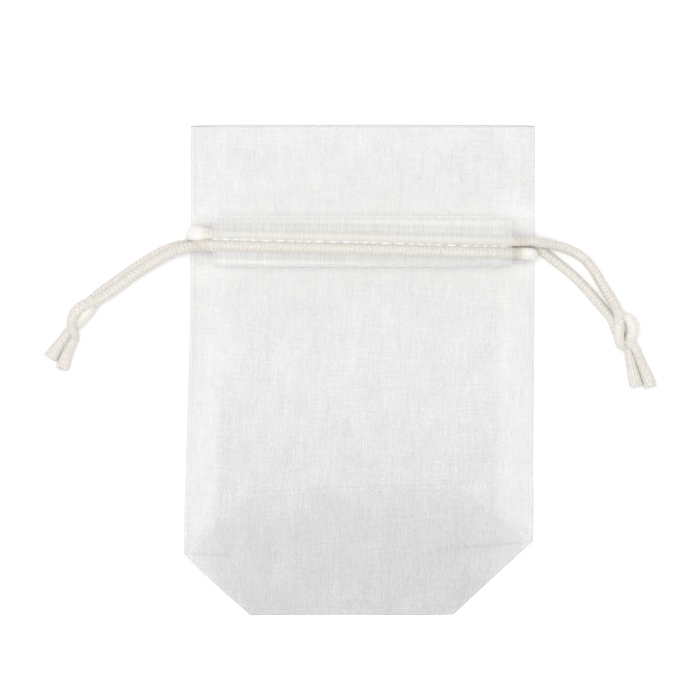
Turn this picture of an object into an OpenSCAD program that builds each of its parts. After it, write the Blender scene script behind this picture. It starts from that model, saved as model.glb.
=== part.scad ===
// Drawstring gift pouch of sheer organza, lying flat on its back.
// +X is the pouch's right, +Y runs from the bottom fold to the mouth, +Z points up out of its front.
// The origin is under the middle of the flat pouch, on the surface that it lies on.

/* [Pouch] */
// Width of the flat pouch, from side seam to side seam
pouch_w = 105; // [100:1:112]
// Height of the flat pouch, from the bottom fold to the mouth
pouch_h = 150; // [146:1:156]
// Depth of the folded base, which is the depth of the pouch when it stands open
base_depth = 41; // [38:1:44]
// Thickness that one ply of cloth takes up
ply = 0.4; // [0.3:0.05:0.45]

/* [Casing] */
// Width of the casing strips
casing_w = 15.4; // [15:0.1:17]
// Height of the loose header above the casing
header_h = 28.6; // [26:0.2:32]
// Distance from a side seam to the open end of a casing
casing_inset = 7; // [6:0.5:9]
// Length of one sewing stitch
stitch_l = 2; // [1.5:0.1:2.4]

/* [Drawstring] */
// Diameter of the drawstring cord
cord_d = 3; // [2.6:0.1:3.1]
// Diameter of a knot
knot_d = 8.4; // [7.6:0.2:9]

/* [Hollow] */
// Clear height between back and front where the cords cross the pouch
hollow_h = 4.6; // [4.4:0.1:5.4]

/* [Hidden] */

organza = [0.93, 0.94, 0.94];
thread_white = [0.97, 0.97, 0.96];
cord_cream = [0.95, 0.93, 0.87];

half_w = pouch_w / 2;
bottom = -pouch_h / 2;
mouth = pouch_h / 2;
fit = 0.1;                                  // gap between pieces that lie against each other
channel_h = cord_d + 2 * fit;               // inner height of a casing
bump_top = 2 * ply + channel_h;             // top of the back panel where it rides over the cords
front_low = bump_top + hollow_h;            // underside of the front panel at the middle
flat_half = half_w - 14.5;                  // half width of the flat middle of the front panel
wing_slope = 0.22;                          // fall of the front panel's sides towards the seams
seam_w = 1.2;

casing_top = mouth - header_h + 0.8;
casing_low = casing_top - casing_w;
casing_half = half_w - casing_inset;
tab = 2;                                    // flat part of a casing strip outside its channel
wall = 0.4;                                 // thickness of a casing strip's raised sides

corner_in = base_depth / 2;                 // the base's corners are folded at 45 degrees
base_half = half_w - corner_in;
base_top = bottom + base_depth;
corner_y = bottom + corner_in;
base_low = ply + fit / 2;                   // height of the base panel at the bottom fold
base_slope = (front_low - base_low) / base_depth;

cord_r = cord_d / 2;
cord_sides = 8;
bight_x = half_w - 4.3;                     // where a drawstring starts to turn round the side seam
bight_steps = 6;
upper_y_left = 41.8;                        // the right drawstring's height at the left seam
upper_y_right = 39.7;
lower_y_left = 38.2;                        // the left drawstring's height at the left seam
lower_y_right = 35.7;
back_cord_z = ply + fit + cord_r;
edge_shift = half_w - 52.5;                 // moves the free cords with the side seams

stitch_pitch = 3.2;
stitch_t = 0.3;

// Where a drawstring's two ends run from the casings to just past the side seam
right_front_exit = [[47.2, 39.6, 8.8], [50, 39.5, 8.3], [54, 39.3, 7]];
right_back_exit = [[47.2, 39.6, 2], [50, 39.4, 2], [54, 38, 1.9]];
left_front_exit = [[-47.2, 38.2, 8.8], [-51.4, 37.8, 8], [-54, 37.2, 7]];
left_back_exit = [[-47.2, 38.3, 2], [-51.4, 38.6, 1.9], [-54, 38.5, 1.9]];

// Routes of the free tails, from past the side seam to the knot, with a gap in which a tail can swing
right_front_route = [
    [55.6, 39.1, 5.9], [57.6, 38.9, 4.6], [60.5, 38.3, 2.8],
    [64, 37.2, 1.7], [68.5, 34.6, 1.6], [72, 30.6, 1.6], [74.6, 26.2, 1.7], [77, 21.8, 2.6],
    [79.2, 17.6, 4.4], [80, 15.8, 5.2]
];
right_back_route = [
    [55.6, 36.9, 1.8], [57.6, 35.4, 1.7], [60.6, 33, 1.6],
    [64.8, 29.6, 1.6], [68.9, 25.6, 1.6], [72.4, 21.6, 1.6], [75.6, 17.8, 1.9], [77.6, 15.4, 2.6]
];
right_end_routes = [
    [[81.6, 7.8, 5.2], [82.2, 4.4, 3.6], [83.4, 0, 2], [84.6, -4.4, 1.6]],
    [[84, 7.4, 2.8], [85.8, 4.2, 2], [87.6, 0, 1.6], [89.4, -4.6, 1.6]]
];
left_front_route = [
    [-55.6, 36.7, 6.2], [-58.2, 35.7, 5.1], [-62.5, 33.3, 4.2], [-68, 29.9, 4.1],
    [-74.4, 25.2, 4.1], [-79, 22, 4.6], [-81.4, 20.3, 5.4]
];
left_back_route = [
    [-55.6, 38.2, 1.8], [-58.8, 37.3, 1.7], [-63.4, 35, 1.6], [-69, 31.5, 1.6],
    [-75.5, 26.9, 1.6], [-80, 23.8, 1.7], [-82, 22.3, 2.3]
];
left_end_routes = [
    [[-87.4, 14.4, 5.2], [-89.8, 10.6, 3.4], [-92.2, 7, 2], [-94.4, 4, 1.6]],
    [[-85.2, 13.6, 3], [-86.8, 9.2, 2], [-88.6, 5.2, 1.6], [-90.2, 1.6, 1.6]]
];
right_knot_at = [81.2, 12, 4.3];
right_knot_turn = -72;
left_knot_at = [-84.7, 17.5, 4.3];
left_knot_turn = 224;

// Height of the front panel's underside at a distance x from the middle
function front_z(x) = front_low - max(0, abs(x) - flat_half) * wing_slope;

// Height of the folded base's underside at y
function base_z(y) = base_low + (y - bottom) * base_slope;

// A point on the smooth curve through p1 and p2, with p0 and p3 as their neighbours
function curve_at(p0, p1, p2, p3, t) =
    0.5 * (2 * p1 + (p2 - p0) * t + (2 * p0 - 5 * p1 + 4 * p2 - p3) * t * t
        + (3 * p1 - p0 - 3 * p2 + p3) * t * t * t);

// The route with more points on a smooth curve through its own points
function smoothed(route, steps) =
    let (last = len(route) - 1)
    concat(
        [for (i = [0:last - 1], s = [0:steps - 1])
            curve_at(route[max(i - 1, 0)], route[i], route[i + 1], route[min(i + 2, last)], s / steps)],
        [route[last]]
    );

function unit(v) = v / norm(v);

// The direction of a path at its point i
function heading(path, i) =
    unit(path[min(i + 1, len(path) - 1)] - path[max(i - 1, 0)]);

// One round section of a cord, square to its path
function ring(path, i, up) =
    let (ahead = heading(path, i), side = unit(cross(ahead, up)), over = cross(side, ahead))
    [for (k = [0:cord_sides - 1])
        let (a = 360 * k / cord_sides)
        path[i] + cord_r * (cos(a) * side + sin(a) * over)];

// A closed tube that follows a path; up is a direction that the path never takes
module tube(path, up) {
    rings = len(path);
    points = [for (i = [0:rings - 1]) each ring(path, i, up)];
    walls = [for (i = [0:rings - 2], k = [0:cord_sides - 1])
        let (a = i * cord_sides + k, b = i * cord_sides + (k + 1) % cord_sides)
        each [[a, b, a + cord_sides], [b, b + cord_sides, a + cord_sides]]];
    first_cap = [[for (k = [cord_sides - 1:-1:0]) k]];
    last_cap = [[for (k = [0:cord_sides - 1]) (rings - 1) * cord_sides + k]];
    polyhedron(points, concat(first_cap, walls, last_cap));
}

module free_cord(route) {
    shift = [sign(route[0].x) * edge_shift, 0, 0];
    translate(shift) tube(smoothed(route, 2), [0, 0, 1]);
}

// Cloth that lies parallel to the front panel, from x0 to x1 and y0 to y1
module front_band(x0, x1, y0, y1, lift, thick) {
    xs = concat([x0], [for (x = [-flat_half, flat_half]) if (x > x0 && x < x1) x], [x1]);
    under = [for (x = xs) [x, front_z(x) + lift]];
    over = [for (i = [len(xs) - 1:-1:0]) under[i] + [0, thick]];
    translate([0, y1, 0]) rotate([90, 0, 0]) linear_extrude(y1 - y0) polygon(concat(under, over));
}

// A profile of [y, z] points drawn out along X
module across(x0, x1, profile) {
    translate([x0, 0, 0]) rotate([90, 0, 90]) linear_extrude(x1 - x0) polygon(profile);
}

// Cloth that lies in the slope of the folded base
module base_sheet(lift, thick, outline) {
    intersection() {
        across(-half_w, half_w, [
            [bottom, base_z(bottom) + lift], [base_top, base_z(base_top) + lift],
            [base_top, base_z(base_top) + lift + thick], [bottom, base_z(bottom) + lift + thick]
        ]);
        linear_extrude(4 * front_low) polygon(outline);
    }
}

// The cloth is drawn in where a drawstring turns round the side seam
module bight_notch(side, y) {
    translate([side * (bight_x + fit + 5), y, front_low / 2])
        cube([10, cord_d + 4 * fit, 4 * front_low], center = true);
}

module bight_notches() {
    bight_notch(-1, upper_y_left);
    bight_notch(1, lower_y_right);
}

module front_panel() {
    color(organza, 0.4) difference() {
        intersection() {
            front_band(-half_w, half_w, corner_y, mouth, 0, ply);
            linear_extrude(4 * front_low) polygon([
                [-half_w, corner_y + fit], [-base_half, base_top + fit], [base_half, base_top + fit],
                [half_w, corner_y + fit], [half_w, mouth], [-half_w, mouth]
            ]);
        }
        bight_notches();
    }
}

// The back panel lies on the surface and rides up over the back casing and its cords
module back_panel() {
    step = 1;
    rise = 1;
    low_in = casing_low + tab;
    top_in = casing_top - tab;
    under = [
        [bottom, 0], [casing_low - step, 0], [casing_low - fit, ply], [low_in - rise, ply],
        [low_in, bump_top - ply], [top_in, bump_top - ply], [top_in + rise, ply],
        [casing_top + fit, ply], [casing_top + step, 0], [mouth, 0]
    ];
    over = [
        [mouth, ply], [casing_top + step, ply], [casing_top + fit, 2 * ply],
        [top_in + rise + wall, 2 * ply], [top_in + wall, bump_top], [low_in - wall, bump_top],
        [low_in - rise - wall, 2 * ply], [casing_low - fit, 2 * ply], [casing_low - step, ply],
        [bottom, ply]
    ];
    color(organza, 0.4) difference() {
        intersection() {
            across(-half_w, half_w, concat(under, over));
            linear_extrude(4 * front_low) polygon([
                [-half_w, corner_y], [-base_half, bottom], [base_half, bottom],
                [half_w, corner_y], [half_w, mouth], [-half_w, mouth]
            ]);
        }
        bight_notches();
    }
}

// The outer ply of the base, folded up flat against the front
module base_panel() {
    color(organza, 0.55) base_sheet(0, ply, [
        [-base_half + fit, bottom], [base_half - fit, bottom],
        [base_half - fit, base_top], [-base_half + fit, base_top]
    ]);
}

// The base's inner ply, a little smaller all round
module base_inner_ply() {
    inset = 1.5;
    low = bottom + 2 * ply / base_slope + inset;
    reach = low - bottom;
    color(organza, 0.55) base_sheet(-2 * ply, ply, [
        [-base_half - reach + inset, low], [base_half + reach - inset, low],
        [half_w - inset - seam_w, corner_y], [base_half, base_top - inset],
        [-base_half, base_top - inset], [-half_w + inset + seam_w, corner_y]
    ]);
}

// The folded-out triangle of a side wall, with the wall of its bottom fold
module base_gusset(side) {
    fold_t = 0.7;
    color(organza, 0.55) {
        base_sheet(0, ply, [
            [side * base_half, bottom], [side * half_w, corner_y], [side * base_half, base_top]
        ]);
        intersection() {
            across(-half_w, half_w, [
                [bottom, base_low], [corner_y - fit, base_low],
                [corner_y - fit, base_z(corner_y) + fit], [bottom, base_z(bottom) + fit]
            ]);
            linear_extrude(4 * front_low) polygon([
                [side * base_half, bottom], [side * half_w, corner_y],
                [side * (half_w - fold_t), corner_y], [side * base_half, bottom + fold_t]
            ]);
        }
    }
}

module left_base_gusset() {
    base_gusset(-1);
}

module right_base_gusset() {
    base_gusset(1);
}

// The welded edge that joins front and back
module side_seam(side) {
    floor_z = ply + fit / 2;
    top_z = front_z(half_w) - fit / 2;
    step = 1;
    low_in = casing_low + tab;
    top_in = casing_top - tab;
    low_y = corner_y + seam_w + fit;
    x_in = side * (half_w - seam_w / 2);
    color(organza) difference() {
        across(x_in - seam_w / 2, x_in + seam_w / 2, [
            [low_y, floor_z], [casing_low - 2 * step, floor_z], [casing_low - step, 2 * ply + fit],
            [low_in - 2, 2 * ply + fit], [low_in - step, bump_top + fit],
            [top_in + step, bump_top + fit], [top_in + 2, 2 * ply + fit],
            [casing_top + step, 2 * ply + fit], [casing_top + 2 * step, floor_z], [mouth, floor_z],
            [mouth, top_z], [low_y, top_z]
        ]);
        bight_notches();
    }
}

module left_side_seam() {
    side_seam(-1);
}

module right_side_seam() {
    side_seam(1);
}

// The seam that runs on across the folded base, raised on it
module base_seam(side, long) {
    outer = half_w - seam_w;
    color(organza) base_sheet(ply + fit / 2, stitch_t, [
        [side * outer, corner_y - seam_w / 2], [side * (outer - long), corner_y - seam_w / 2],
        [side * (outer - long), corner_y + seam_w / 2], [side * outer, corner_y + seam_w / 2]
    ]);
}

module left_base_seam() {
    base_seam(-1, corner_in);
}

module right_base_seam() {
    base_seam(1, 1.4 * corner_in);
}

// The strip sewn on the outside of the front, raised over the two cords
module front_casing() {
    low_in = casing_low + tab;
    top_in = casing_top - tab;
    color(organza, 0.4) {
        front_band(-casing_half, casing_half, casing_low, low_in, ply, ply);
        front_band(-casing_half, casing_half, top_in, casing_top, ply, ply);
        front_band(-casing_half, casing_half, low_in - wall, low_in, ply, ply + channel_h);
        front_band(-casing_half, casing_half, top_in, top_in + wall, ply, ply + channel_h);
        front_band(-casing_half, casing_half, low_in - wall, top_in + wall, ply + channel_h, ply);
    }
}

// The strip sewn on the outside of the back, flat on the surface
module back_casing() {
    color(organza, 0.4) translate([-casing_half, casing_low, 0])
        cube([2 * casing_half, casing_w, ply]);
}

// A straight row of stitches on the front casing, at y
module front_stitches(y) {
    color(thread_white)
        for (x = [-casing_half + stitch_pitch / 2:stitch_pitch:casing_half - stitch_pitch])
            if (abs(abs(x + stitch_l / 2) - flat_half) > stitch_l)
                front_band(x, x + stitch_l, y - stitch_t / 2, y + stitch_t / 2, 2 * ply + fit / 2, stitch_t);
}

// The same row on the inner side of the back panel
module back_stitches(y) {
    color(thread_white)
        for (x = [-casing_half + stitch_pitch / 2:stitch_pitch:casing_half - stitch_pitch])
            translate([x, y - stitch_t / 2, 2 * ply + fit / 2]) cube([stitch_l, stitch_t, stitch_t]);
}

module front_upper_stitches() {
    front_stitches(casing_top - 0.8);
}

module front_lower_stitches() {
    front_stitches(casing_low + 0.8);
}

module back_upper_stitches() {
    back_stitches(casing_top - 0.3);
}

module back_lower_stitches() {
    back_stitches(casing_low + 0.3);
}

// The row that holds the base to the front panel
module base_stitches() {
    y = base_top - 1.4;
    color(thread_white)
        for (x = [-base_half + 1:stitch_pitch:base_half - stitch_pitch])
            base_sheet(ply + fit / 2, stitch_t, [
                [x, y - stitch_t / 2], [x + stitch_l, y - stitch_t / 2],
                [x + stitch_l, y + stitch_t / 2], [x, y + stitch_t / 2]
            ]);
}

// The part of a drawstring that the casings hold: out along the front, round one seam, back along
// the back. turn_side is the seam that it turns round, and its two ends run out past the other one.
module drawstring_loop(turn_side, y_turn, y_exit, front_exit, back_exit) {
    lift = ply + fit + cord_r;
    turn_top = front_z(bight_x) + lift;
    turn_r = (turn_top - back_cord_z) / 2;
    exit_x = -turn_side * casing_half;
    slope = (y_exit - y_turn) / (exit_x - turn_side * bight_x);
    turn = [for (i = [0:bight_steps])
        let (a = 90 - 180 * i / bight_steps)
        [turn_side * (bight_x + turn_r * cos(a)), y_turn, back_cord_z + turn_r + turn_r * sin(a)]];
    creases = [for (x = [exit_x, -turn_side * flat_half, turn_side * flat_half])
        [x, y_exit + slope * (x - exit_x), front_z(x) + lift]];
    shift = [-turn_side * edge_shift, 0, 0];
    way_out = [for (i = [len(front_exit) - 1:-1:0]) front_exit[i] + shift];
    way_back = concat([[exit_x, y_exit, back_cord_z]], [for (p = back_exit) p + shift]);
    color(cord_cream) tube(concat(way_out, creases, turn, way_back), [0, 1, 0]);
}

module right_drawstring_loop() {
    drawstring_loop(-1, upper_y_left, upper_y_right, right_front_exit, right_back_exit);
}

module left_drawstring_loop() {
    drawstring_loop(1, lower_y_right, lower_y_left, left_front_exit, left_back_exit);
}

module right_front_tail() {
    color(cord_cream) free_cord(right_front_route);
}

module right_back_tail() {
    color(cord_cream) free_cord(right_back_route);
}

module left_front_tail() {
    color(cord_cream) free_cord(left_front_route);
}

module left_back_tail() {
    color(cord_cream) free_cord(left_back_route);
}

// The two ends of a drawstring, tied together: three turns round a core
module knot(at, turn) {
    turn_r = knot_d / 2 - cord_r;
    turn_step = 2.6;
    shift = [sign(at.x) * edge_shift, 0, 0];
    color(cord_cream) translate(at + shift) rotate([0, 90, turn]) rotate_extrude($fn = 48) {
        translate([0, -turn_step - cord_r]) square([turn_r, 2 * (turn_step + cord_r)]);
        for (i = [-1:1]) translate([turn_r, i * turn_step]) circle(r = cord_r);
    }
}

module right_knot() {
    knot(right_knot_at, right_knot_turn);
}

module left_knot() {
    knot(left_knot_at, left_knot_turn);
}

module right_cord_ends() {
    color(cord_cream) for (route = right_end_routes) free_cord(route);
}

module left_cord_ends() {
    color(cord_cream) for (route = left_end_routes) free_cord(route);
}

front_panel();
back_panel();
base_panel();
base_inner_ply();
left_base_gusset();
right_base_gusset();
left_side_seam();
right_side_seam();
left_base_seam();
right_base_seam();
front_casing();
back_casing();
front_upper_stitches();
front_lower_stitches();
back_upper_stitches();
back_lower_stitches();
base_stitches();
right_drawstring_loop();
right_front_tail();
right_back_tail();
right_knot();
right_cord_ends();
left_drawstring_loop();
left_front_tail();
left_back_tail();
left_knot();
left_cord_ends();
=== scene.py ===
"""Drawstring gift pouch of sheer organza, flat on a pale floor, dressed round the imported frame."""
import math

import bpy
import numpy as np
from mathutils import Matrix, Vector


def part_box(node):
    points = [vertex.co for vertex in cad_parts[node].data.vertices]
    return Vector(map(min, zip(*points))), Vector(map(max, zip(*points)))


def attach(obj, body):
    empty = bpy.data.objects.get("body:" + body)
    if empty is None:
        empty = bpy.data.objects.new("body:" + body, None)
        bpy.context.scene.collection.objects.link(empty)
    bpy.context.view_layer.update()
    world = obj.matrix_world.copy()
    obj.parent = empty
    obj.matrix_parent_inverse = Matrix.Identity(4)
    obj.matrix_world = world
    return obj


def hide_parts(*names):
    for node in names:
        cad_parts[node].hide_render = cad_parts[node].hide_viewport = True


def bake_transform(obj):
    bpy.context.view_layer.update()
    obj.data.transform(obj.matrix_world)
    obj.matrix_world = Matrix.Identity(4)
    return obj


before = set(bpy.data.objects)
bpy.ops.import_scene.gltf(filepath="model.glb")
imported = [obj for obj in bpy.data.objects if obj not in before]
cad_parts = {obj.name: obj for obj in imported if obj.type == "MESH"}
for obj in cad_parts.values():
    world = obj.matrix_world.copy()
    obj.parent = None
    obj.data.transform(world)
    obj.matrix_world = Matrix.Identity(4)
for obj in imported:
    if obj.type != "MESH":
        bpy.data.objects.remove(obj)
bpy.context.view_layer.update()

MM = 0.001

# ---------------------------------------------------------------- sizes taken from the frame
FRONT_LOW, FRONT_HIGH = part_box("front_panel")
BACK_LOW, BACK_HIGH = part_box("back_panel")
CASING_LOW, CASING_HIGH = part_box("front_casing")
BASE_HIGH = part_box("base_panel")[1]
HALF_W = BACK_HIGH.x / MM
BOTTOM = BACK_LOW.y / MM
MOUTH = BACK_HIGH.y / MM
CAS_Y0, CAS_Y1 = CASING_LOW.y / MM, CASING_HIGH.y / MM
CAS_X = CASING_HIGH.x / MM
BASE_TOP = BASE_HIGH.y / MM
BASE_HALF = BASE_HIGH.x / MM + 0.1
CORNER_Y = FRONT_LOW.y / MM - 0.1
PLY = 0.4
FRONT_Z = FRONT_HIGH.z / MM - PLY  # underside of the front panel at the middle
FLAT_HALF = HALF_W - 14.5          # the front panel lies level this far out, then falls to its seams

# ---------------------------------------------------------------- sizes taken from the photo, in mm
CORD_R = 1.5
PRESSED_Z = 1.85    # the cord's centre above the front panel where the casing presses on it
CORD_SPAN = 93.7    # from one end of the casings' hold on a cord to the other
TURN_X = 48.2       # the cords start to turn round the side seams here
HELD_X = 47.6       # and the casings hold them straight up to here
EXIT_X = 54.8       # outside this the strands are free
PATH_STEP = 0.32    # between the rings of a cord
CORD_SIDES = 36
PLAIT = 1.3         # length of one turn of the cord's plait
STITCH_PITCH = 3.2

# ---------------------------------------------------------------- small maths


def smooth(a, b, x):
    """0 at a, 1 at b, and an even ease between."""
    t = np.clip((np.asarray(x, float) - a) / (b - a), 0, 1)
    return t * t * (3 - 2 * t)


def bump(x, centre, half):
    """1 at the centre, fading to about a third half away from it."""
    return np.exp(-(((np.asarray(x, float) - centre) / half) ** 2))


def ripple(x, y, seed, size):
    """A smooth, repeatable unevenness between about -1 and 1, for cloth that never lies quite flat."""
    rng = np.random.default_rng(seed)
    total = 0
    for _ in range(7):
        turn = rng.uniform(0, math.tau)
        wave = size * rng.uniform(0.7, 1.6)
        phase = rng.uniform(0, math.tau)
        total = total + np.sin((x * math.cos(turn) + y * math.sin(turn)) / wave * math.tau + phase)
    return total / 4


def spline(points, step):
    """Points every step along a natural cubic curve through the given ones, and how far along each is."""
    p = np.array(points, float)
    t = np.concatenate([[0], np.cumsum(np.linalg.norm(np.diff(p, axis=0), axis=1) ** 0.75)])
    n, h = len(p), np.diff(t)
    a, r = np.zeros((n, n)), np.zeros((n, 3))
    a[0, 0] = a[-1, -1] = 1
    for i in range(1, n - 1):
        a[i, i - 1], a[i, i], a[i, i + 1] = h[i - 1], 2 * (h[i - 1] + h[i]), h[i]
        r[i] = 6 * ((p[i + 1] - p[i]) / h[i] - (p[i] - p[i - 1]) / h[i - 1])
    m = np.linalg.solve(a, r)
    q = np.linspace(0, t[-1], 60 * n)
    i = np.clip(np.searchsorted(t, q, side="right") - 1, 0, n - 2)
    u, v = (t[i + 1] - q)[:, None], (q - t[i])[:, None]
    k = h[i][:, None]
    fine = (m[i] * u**3 + m[i + 1] * v**3) / (6 * k)
    fine = fine + (p[i] / k - m[i] * k / 6) * u + (p[i + 1] / k - m[i + 1] * k / 6) * v
    s = np.concatenate([[0], np.cumsum(np.linalg.norm(np.diff(fine, axis=0), axis=1))])
    want = np.linspace(0, s[-1], max(4, int(round(s[-1] / step)) + 1))
    return np.stack([np.interp(want, s, fine[:, j]) for j in range(3)], 1), want


# The cloth isn't cut and folded perfectly square. Each mark is a point of the square pattern and how far
# from it the real cloth lies, in mm.
MARKS = [
    (-52.5, 75, 0.9, 0), (0, 75, 1, 0), (52.5, 75, 1.2, 0),
    (-52.5, 46, 0.9, 0), (0, 40, 1, 0), (52.5, 46, 1.1, 0),
    (-52.5, 0, 0.2, 0), (52.5, 0, 0.9, 0),
    (-52.5, -30, -0.7, -0.5), (52.5, -30, 0.7, 0.6),
    (-52.5, -54.5, -1.2, -1.6), (52.5, -54.5, 0.6, 2.3),
    (-32, -34, -2.7, -2.6), (0, -34, -1.3, -1.3), (32, -34, -0.6, -0.4),
    (-32, -75, -1.5, -0.1), (0, -75, -1.4, 0.1), (32, -75, -3.1, 0.2),
]


def thin_plate(marks):
    """The smoothest shift of the plane that moves every mark as it says."""
    m = np.array(marks, float)
    c, d, n = m[:, :2] / 50, m[:, 2:], len(m)

    def kernel(r2):
        return 0.5 * r2 * np.log(np.maximum(r2, 1e-12))

    r2 = ((c[:, None] - c[None]) ** 2).sum(2)
    a = np.zeros((n + 3, n + 3))
    a[:n, :n], a[:n, n], a[:n, n + 1:] = kernel(r2) + 0.002 * np.eye(n), 1, c
    a[n, :n], a[n + 1:, :n] = 1, c.T
    w = np.linalg.solve(a, np.concatenate([d, np.zeros((3, 2))]))

    def at(x, y):
        q = np.stack([np.ravel(x), np.ravel(y)], 1) / 50
        k = kernel(((q[:, None] - c[None]) ** 2).sum(2))
        return (k @ w[:n] + w[n] + q @ w[n + 1:]).reshape(np.shape(x) + (2,))

    return at


shift_at = thin_plate(MARKS)


def laid(x, y):
    """Where a mark of the square pattern really lies."""
    d = shift_at(x, y)
    return x + d[..., 0], y + d[..., 1]


# ---------------------------------------------------------------- the pouch's surfaces, in mm


def cord_b(x):
    """Height up the pouch of the right drawstring inside the casings."""
    return 41.8 + (x + TURN_X) * (39.7 - 41.8) / CORD_SPAN


def cord_a(x):
    """The same of the left drawstring."""
    return 38.2 + (x + 45.5) * (35.7 - 38.2) / CORD_SPAN


def hump(x, y, reach, clear=0.7):
    """1 to clear mm outside the two cords' lines, then down to 0 over another reach mm."""
    low = smooth(cord_a(x) - clear - reach, cord_a(x) - clear, y)
    high = smooth(cord_b(x) + clear + reach, cord_b(x) + clear, y)
    valley = bump(y, (cord_a(x) + cord_b(x)) / 2, 0.55)
    return low * high * (1 - 0.12 * valley)


def seam_z(y):
    """Height of the side seams, which rise where the cords pass under them."""
    return 2.7 + 2.2 * np.exp(-(((np.asarray(y, float) - 39) / 9.5) ** 4))


def front_plain(x):
    """Height of the front panel without its unevenness."""
    a = np.abs(x)
    fall = 0.22 * np.where(a > FLAT_HALF + 3, a - FLAT_HALF, np.maximum(a - FLAT_HALF + 3, 0) ** 2 / 12)
    return FRONT_Z + 0.2 - fall


def front_z(x, y):
    """Height of the front panel, which comes down or up to the side seams and waves a little at the mouth."""
    z = front_plain(x) + 0.22 * ripple(x, y, 3, 26) * smooth(54, 40, np.abs(x))
    edge = smooth(HALF_W - 7, HALF_W, np.abs(x)) ** 1.4
    z = z + (seam_z(y) + 0.12 - z) * edge
    lip = smooth(MOUTH - 9, MOUTH, y)
    return z + lip * (0.35 * np.sin(x / 8.3) + 0.2 * np.sin(x / 3.7 + 1)) * smooth(54, 44, np.abs(x))


def back_z(x, y):
    """Height of the back panel, which rises over the two cords in the back casing."""
    z = 0.22 + 3.55 * hump(x, y, 1.9, 1.3) + 0.12 * (1 + ripple(x, y, 8, 22)) * smooth(BOTTOM, BOTTOM + 12, y)
    edge = smooth(HALF_W - 6, HALF_W, np.abs(x)) ** 1.6
    corner = smooth(CORNER_Y - 1, CORNER_Y + 14, y)
    target = 0.3 + (seam_z(y) - 0.42) * corner
    return z + (np.maximum(target, z * 0.98) - z) * edge


def base_z(y):
    """Height of the folded base, lowest at the pouch's bottom edge."""
    return 0.65 + (y - BOTTOM) * (FRONT_Z - 0.45) / (BASE_TOP - BOTTOM)


# ---------------------------------------------------------------- mesh making


def new_object(name, verts, faces, uvs=None, marks=None):
    """verts in mm; uvs one pair per vertex; marks are named values per vertex that the material reads."""
    mesh = bpy.data.meshes.new(name)
    mesh.from_pydata((np.asarray(verts, float) * MM).tolist(), [], [list(map(int, f)) for f in faces])
    if uvs is not None:
        layer = mesh.uv_layers.new(name="UVMap")
        index = np.zeros(len(mesh.loops), int)
        mesh.loops.foreach_get("vertex_index", index)
        layer.data.foreach_set("uv", np.asarray(uvs, np.float32)[index].ravel())
    for key, value in (marks or {}).items():
        attribute = mesh.attributes.new(key, "FLOAT", "POINT")
        attribute.data.foreach_set("value", np.asarray(value, np.float32).ravel())
    mesh.polygons.foreach_set("use_smooth", [True] * len(mesh.polygons))
    mesh.update()
    obj = bpy.data.objects.new(name, mesh)
    bpy.context.scene.collection.objects.link(obj)
    return obj


def grid_faces(rows, columns, flip=False):
    """The quads of a grid of vertices, row by row."""
    faces = []
    for i in range(rows - 1):
        for j in range(columns - 1):
            a = i * columns + j
            f = (a, a + 1, a + columns + 1, a + columns)
            faces.append(f[::-1] if flip else f)
    return faces


def steps(*stretches):
    """Numbers along several stretches, each (from, to, step)."""
    out = []
    for a, b, step in stretches:
        n = max(1, int(round(abs(b - a) / step)))
        out += list(a + (b - a) * np.arange(n) / n)
    out.append(stretches[-1][1])
    return np.array(out)


def cloth(name, xs, ys, low_edge, z_of, marks_of, notch=None, straight=None):
    """A sheet over xs and ys in the square pattern. Below straight its rows follow low_edge.

    notch is (side, height, depth) of the place where a bight of cord pulls the side edge in.
    """
    x, y = np.meshgrid(xs, ys)
    if low_edge is not None:
        edge = low_edge(np.abs(x))
        share = (y - ys[0]) / (straight - ys[0])
        y = np.where(y < straight, edge + (straight - edge) * share, y)
    z = z_of(x, y)
    marks = marks_of(x, y)
    px, py = laid(x, y)
    if notch is not None:
        side, at_y, depth = notch
        pull = depth * np.exp(-((np.abs(py - at_y) / 1.9) ** 4)) * (np.abs(x) / HALF_W) ** 10
        px = px - side * pull
    verts = np.stack([px, py, z], 2).reshape(-1, 3)
    uvs = np.stack([x, y], 2).reshape(-1, 2) * MM
    flip = xs[-1] < xs[0]
    return new_object(name, verts, grid_faces(len(ys), len(xs), flip), uvs, marks)


def tube(path, s, radius, sides=20, first_normal=(0, 0, 1), relief=0.0, closed=False):
    """Rings round a path. radius is a function of s and returns (across, over)."""
    n = len(path)
    ahead = np.gradient(path, axis=0) if not closed else np.roll(path, -1, 0) - np.roll(path, 1, 0)
    ahead /= np.linalg.norm(ahead, axis=1)[:, None]
    up = np.array(first_normal, float)
    frames = []
    for i in range(n):
        up = up - (up @ ahead[i]) * ahead[i]
        up = up / np.linalg.norm(up)
        frames.append((np.cross(ahead[i], up), up))
    if closed:
        side, over = frames[-1]
        f0 = frames[0]
        slip = math.atan2(-(over @ f0[0]), over @ f0[1])
        for i in range(n):
            a = -slip * i / n
            sd, ov = frames[i]
            frames[i] = (sd * math.cos(a) + ov * math.sin(a), ov * math.cos(a) - sd * math.sin(a))
    v = np.arange(sides + 1) / sides
    angle = v * math.tau
    rings, uvs = [], []
    for i in range(n):
        ra, ro = radius(s[i])
        zigzag = np.abs((8 * v + 1) % 2 - 1)
        swell = 1 + relief * np.sin(math.tau * (s[i] / PLAIT + 0.42 * zigzag))
        side, over = frames[i]
        ring = path[i] + np.outer(np.cos(angle) * ra * swell, side) + np.outer(np.sin(angle) * ro * swell, over)
        rings.append(ring)
        uvs.append(np.stack([np.full(sides + 1, s[i] * MM), v], 1))
    return np.array(rings), np.array(uvs)


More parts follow.
